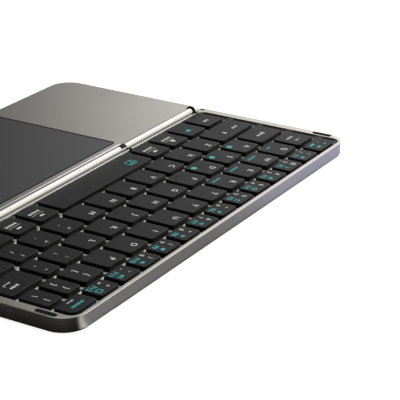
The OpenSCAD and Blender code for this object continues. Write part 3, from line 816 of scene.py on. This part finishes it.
track_size = 0.003
solder_mask, tree, place = new_material("green solder mask over copper")
copper = add(
    tree,
    "ShaderNodeTexVoronoi",
    {"Vector": place, "Scale": 1 / track_size},
    distance="MANHATTAN",
)
mask_tone = add(tree, "ShaderNodeValToRGB", {"Fac": copper.outputs["Distance"]})
mask_tone.color_ramp.elements[0].color = linear("#1c4a30")
mask_tone.color_ramp.elements[1].color = linear("#2b6a42")
finish_material(
    solder_mask,
    add(
        tree,
        "ShaderNodeBsdfPrincipled",
        {"Base Color": mask_tone.outputs["Color"], "Roughness": 0.3, "IOR": 1.55},
    ),
)
for node in ("main_board", "sensor_board"):
    dress(node, solder_mask)
foil = soft_skin("laminated battery foil", "#3d434a", 0.35)
dress("battery", foil)

# ---------------------------------------------------------------------------
# Studio: a floor of white paper, a soft window to the left, two soft lamps and
# the camera.

floor_half = 6.0
corners = [(x * floor_half, y * floor_half, 0) for x, y in ((-1, -1), (1, -1), (1, 1), (-1, 1))]
floor = piece("floor", corners, [[0, 1, 2, 3]], [])
white_floor, tree, place = new_material("white paper")
rays = add(tree, "ShaderNodeLightPath")
seen = add(
    tree,
    "ShaderNodeMath",
    {0: rays.outputs["Is Camera Ray"], 1: rays.outputs["Is Transmission Ray"]},
    operation="MAXIMUM",
)
# Metal shows the white paper too, except in a round patch under the object, where it shows the
# painted reflections below
painted_reflection_reach, painted_reflection_half, painted_reflection_glow, paper_strength = 0.2, 0.14, 0.15, 0.88
far = add(tree, "ShaderNodeVectorMath", {0: place}, operation="LENGTH")
off_painted_reflections = add(
    tree,
    "ShaderNodeMath",
    {0: far.outputs["Value"], 1: painted_reflection_reach},
    operation="GREATER_THAN",
)
paper_in_metal = add(
    tree,
    "ShaderNodeMath",
    {0: rays.outputs["Is Glossy Ray"], 1: off_painted_reflections.outputs[0]},
    operation="MULTIPLY",
)
seen = add(
    tree,
    "ShaderNodeMath",
    {0: seen.outputs[0], 1: paper_in_metal.outputs[0]},
    operation="MAXIMUM",
)
# Painted reflections and shade on the paper, which the metal walls show and the camera does not: a
# pale blue tint at the left end, grey behind the object, a white highlight near its right corner and
# black at its right that darkens the right walls.
# The same colours tint the light that the paper throws back onto the object.
across = add(tree, "ShaderNodeSeparateXYZ", {"Vector": place})
along = add(
    tree,
    "ShaderNodeMapRange",
    {"Value": across.outputs["X"], "From Min": -painted_reflection_half, "From Max": painted_reflection_half},
)
painted_reflections = add(tree, "ShaderNodeValToRGB", {"Fac": along.outputs["Result"]})
painted_reflections.color_ramp.elements[0].color = linear("#cdd0f0")
painted_reflections.color_ramp.elements[1].color = linear("#3e3e3e")
for position, colour in (
    (0.3, "#c4c8e0"), (0.42, "#a4a6ac"), (0.55, "#929396"), (0.9, "#9ea0a4"),
    (0.914, "#ffffff"), (0.922, "#ffffff"), (0.932, "#141414"),
):
    painted_reflections.color_ramp.elements.new(position).color = linear(colour)
metal_glow = add(
    tree,
    "ShaderNodeMath",
    {0: rays.outputs["Is Glossy Ray"], 1: painted_reflection_glow},
    operation="MULTIPLY",
)
painted_reflection_paper = add(tree, "ShaderNodeBsdfDiffuse", {"Color": painted_reflections.outputs["Color"]})
painted_reflection_emission = add(
    tree,
    "ShaderNodeEmission",
    {"Color": painted_reflections.outputs["Color"], "Strength": metal_glow.outputs[0]},
)
white_paper = add(tree, "ShaderNodeBsdfDiffuse", {"Color": linear("#b9b9b9")})
white_glow = add(tree, "ShaderNodeEmission", {"Color": (1, 1, 1, 1), "Strength": paper_strength})
painted_reflection_floor, plain = add(tree, "ShaderNodeAddShader"), add(tree, "ShaderNodeAddShader")
for made, parts in ((painted_reflection_floor, (painted_reflection_paper, painted_reflection_emission)), (plain, (white_paper, white_glow))):
    tree.links.new(parts[0].outputs[0], made.inputs[0])
    tree.links.new(parts[1].outputs[0], made.inputs[1])
mix = add(tree, "ShaderNodeMixShader", {"Fac": seen.outputs[0]})
tree.links.new(painted_reflection_floor.outputs[0], mix.inputs[1])
tree.links.new(plain.outputs[0], mix.inputs[2])
finish_material(white_floor, mix)
floor.data.materials.append(white_floor)

# The window: light grows smoothly from its edge to its core, both measured as the
# cosine of the angle from its middle
window_way, window_edge, window_core = (-0.92, 0.30, 0.26), 0.56, 0.75
room_light, window_light = 0.04, 1.38
world = bpy.data.worlds.new("studio")
bpy.context.scene.world = world
world.use_nodes = True
tree = world.node_tree
tree.nodes.clear()
way = add(tree, "ShaderNodeTexCoord")
side = add(
    tree,
    "ShaderNodeVectorMath",
    {0: way.outputs["Generated"], 1: window_way},
    operation="DOT_PRODUCT",
)
lit = add(
    tree,
    "ShaderNodeMapRange",
    {
        "Value": side.outputs["Value"],
        "From Min": window_edge,
        "From Max": window_core,
        "To Min": room_light,
        "To Max": window_light,
    },
    interpolation_type="SMOOTHSTEP",
)
# Metal shows the window; the camera and clear pieces see plain white
rays = add(tree, "ShaderNodeLightPath")
seen = add(
    tree,
    "ShaderNodeMath",
    {0: rays.outputs["Is Camera Ray"], 1: rays.outputs["Is Transmission Ray"]},
    operation="MAXIMUM",
)
strength = add(
    tree,
    "ShaderNodeMath",
    {0: lit.outputs["Result"], 1: seen.outputs[0]},
    operation="MAXIMUM",
)
sky = add(
    tree,
    "ShaderNodeBackground",
    {"Color": (1.0, 1.0, 1.0, 1.0), "Strength": strength.outputs[0]},
)
end = add(tree, "ShaderNodeOutputWorld")
tree.links.new(sky.outputs[0], end.inputs["Surface"])


def softbox(name, place, size, power, colour):
    """A flat rectangular lamp that faces the middle of the keyboard."""
    data = bpy.data.lights.new(name, "AREA")
    data.shape, data.size, data.size_y = "RECTANGLE", size[0], size[1]
    data.energy, data.color = power, linear(colour)[:3]
    lamp = bpy.data.objects.new(name, data)
    lamp.location = place
    towards = -lamp.location
    lamp.rotation_euler = towards.to_track_quat("-Z", "Y").to_euler()
    bpy.context.scene.collection.objects.link(lamp)


softbox("left_softbox", (-0.72, 0.09, 0.54), (0.36, 0.2), 0.5, "#ffffff")
softbox("top_softbox", (0.0, 0.0, 0.9), (0.7, 0.7), 3.6, "#ffffff")

camera = bpy.data.objects.new("camera", bpy.data.cameras.new("camera"))
camera.data.sensor_width, camera.data.lens = 36.0, 146.66
camera.location = (0.61336, 0.44242, 0.30941)
camera.rotation_euler = [math.radians(a) for a in (67.4756, -0.3650, 120.9114)]
bpy.context.scene.collection.objects.link(camera)
bpy.context.scene.camera = camera
bpy.context.scene.view_settings.view_transform = "Standard"
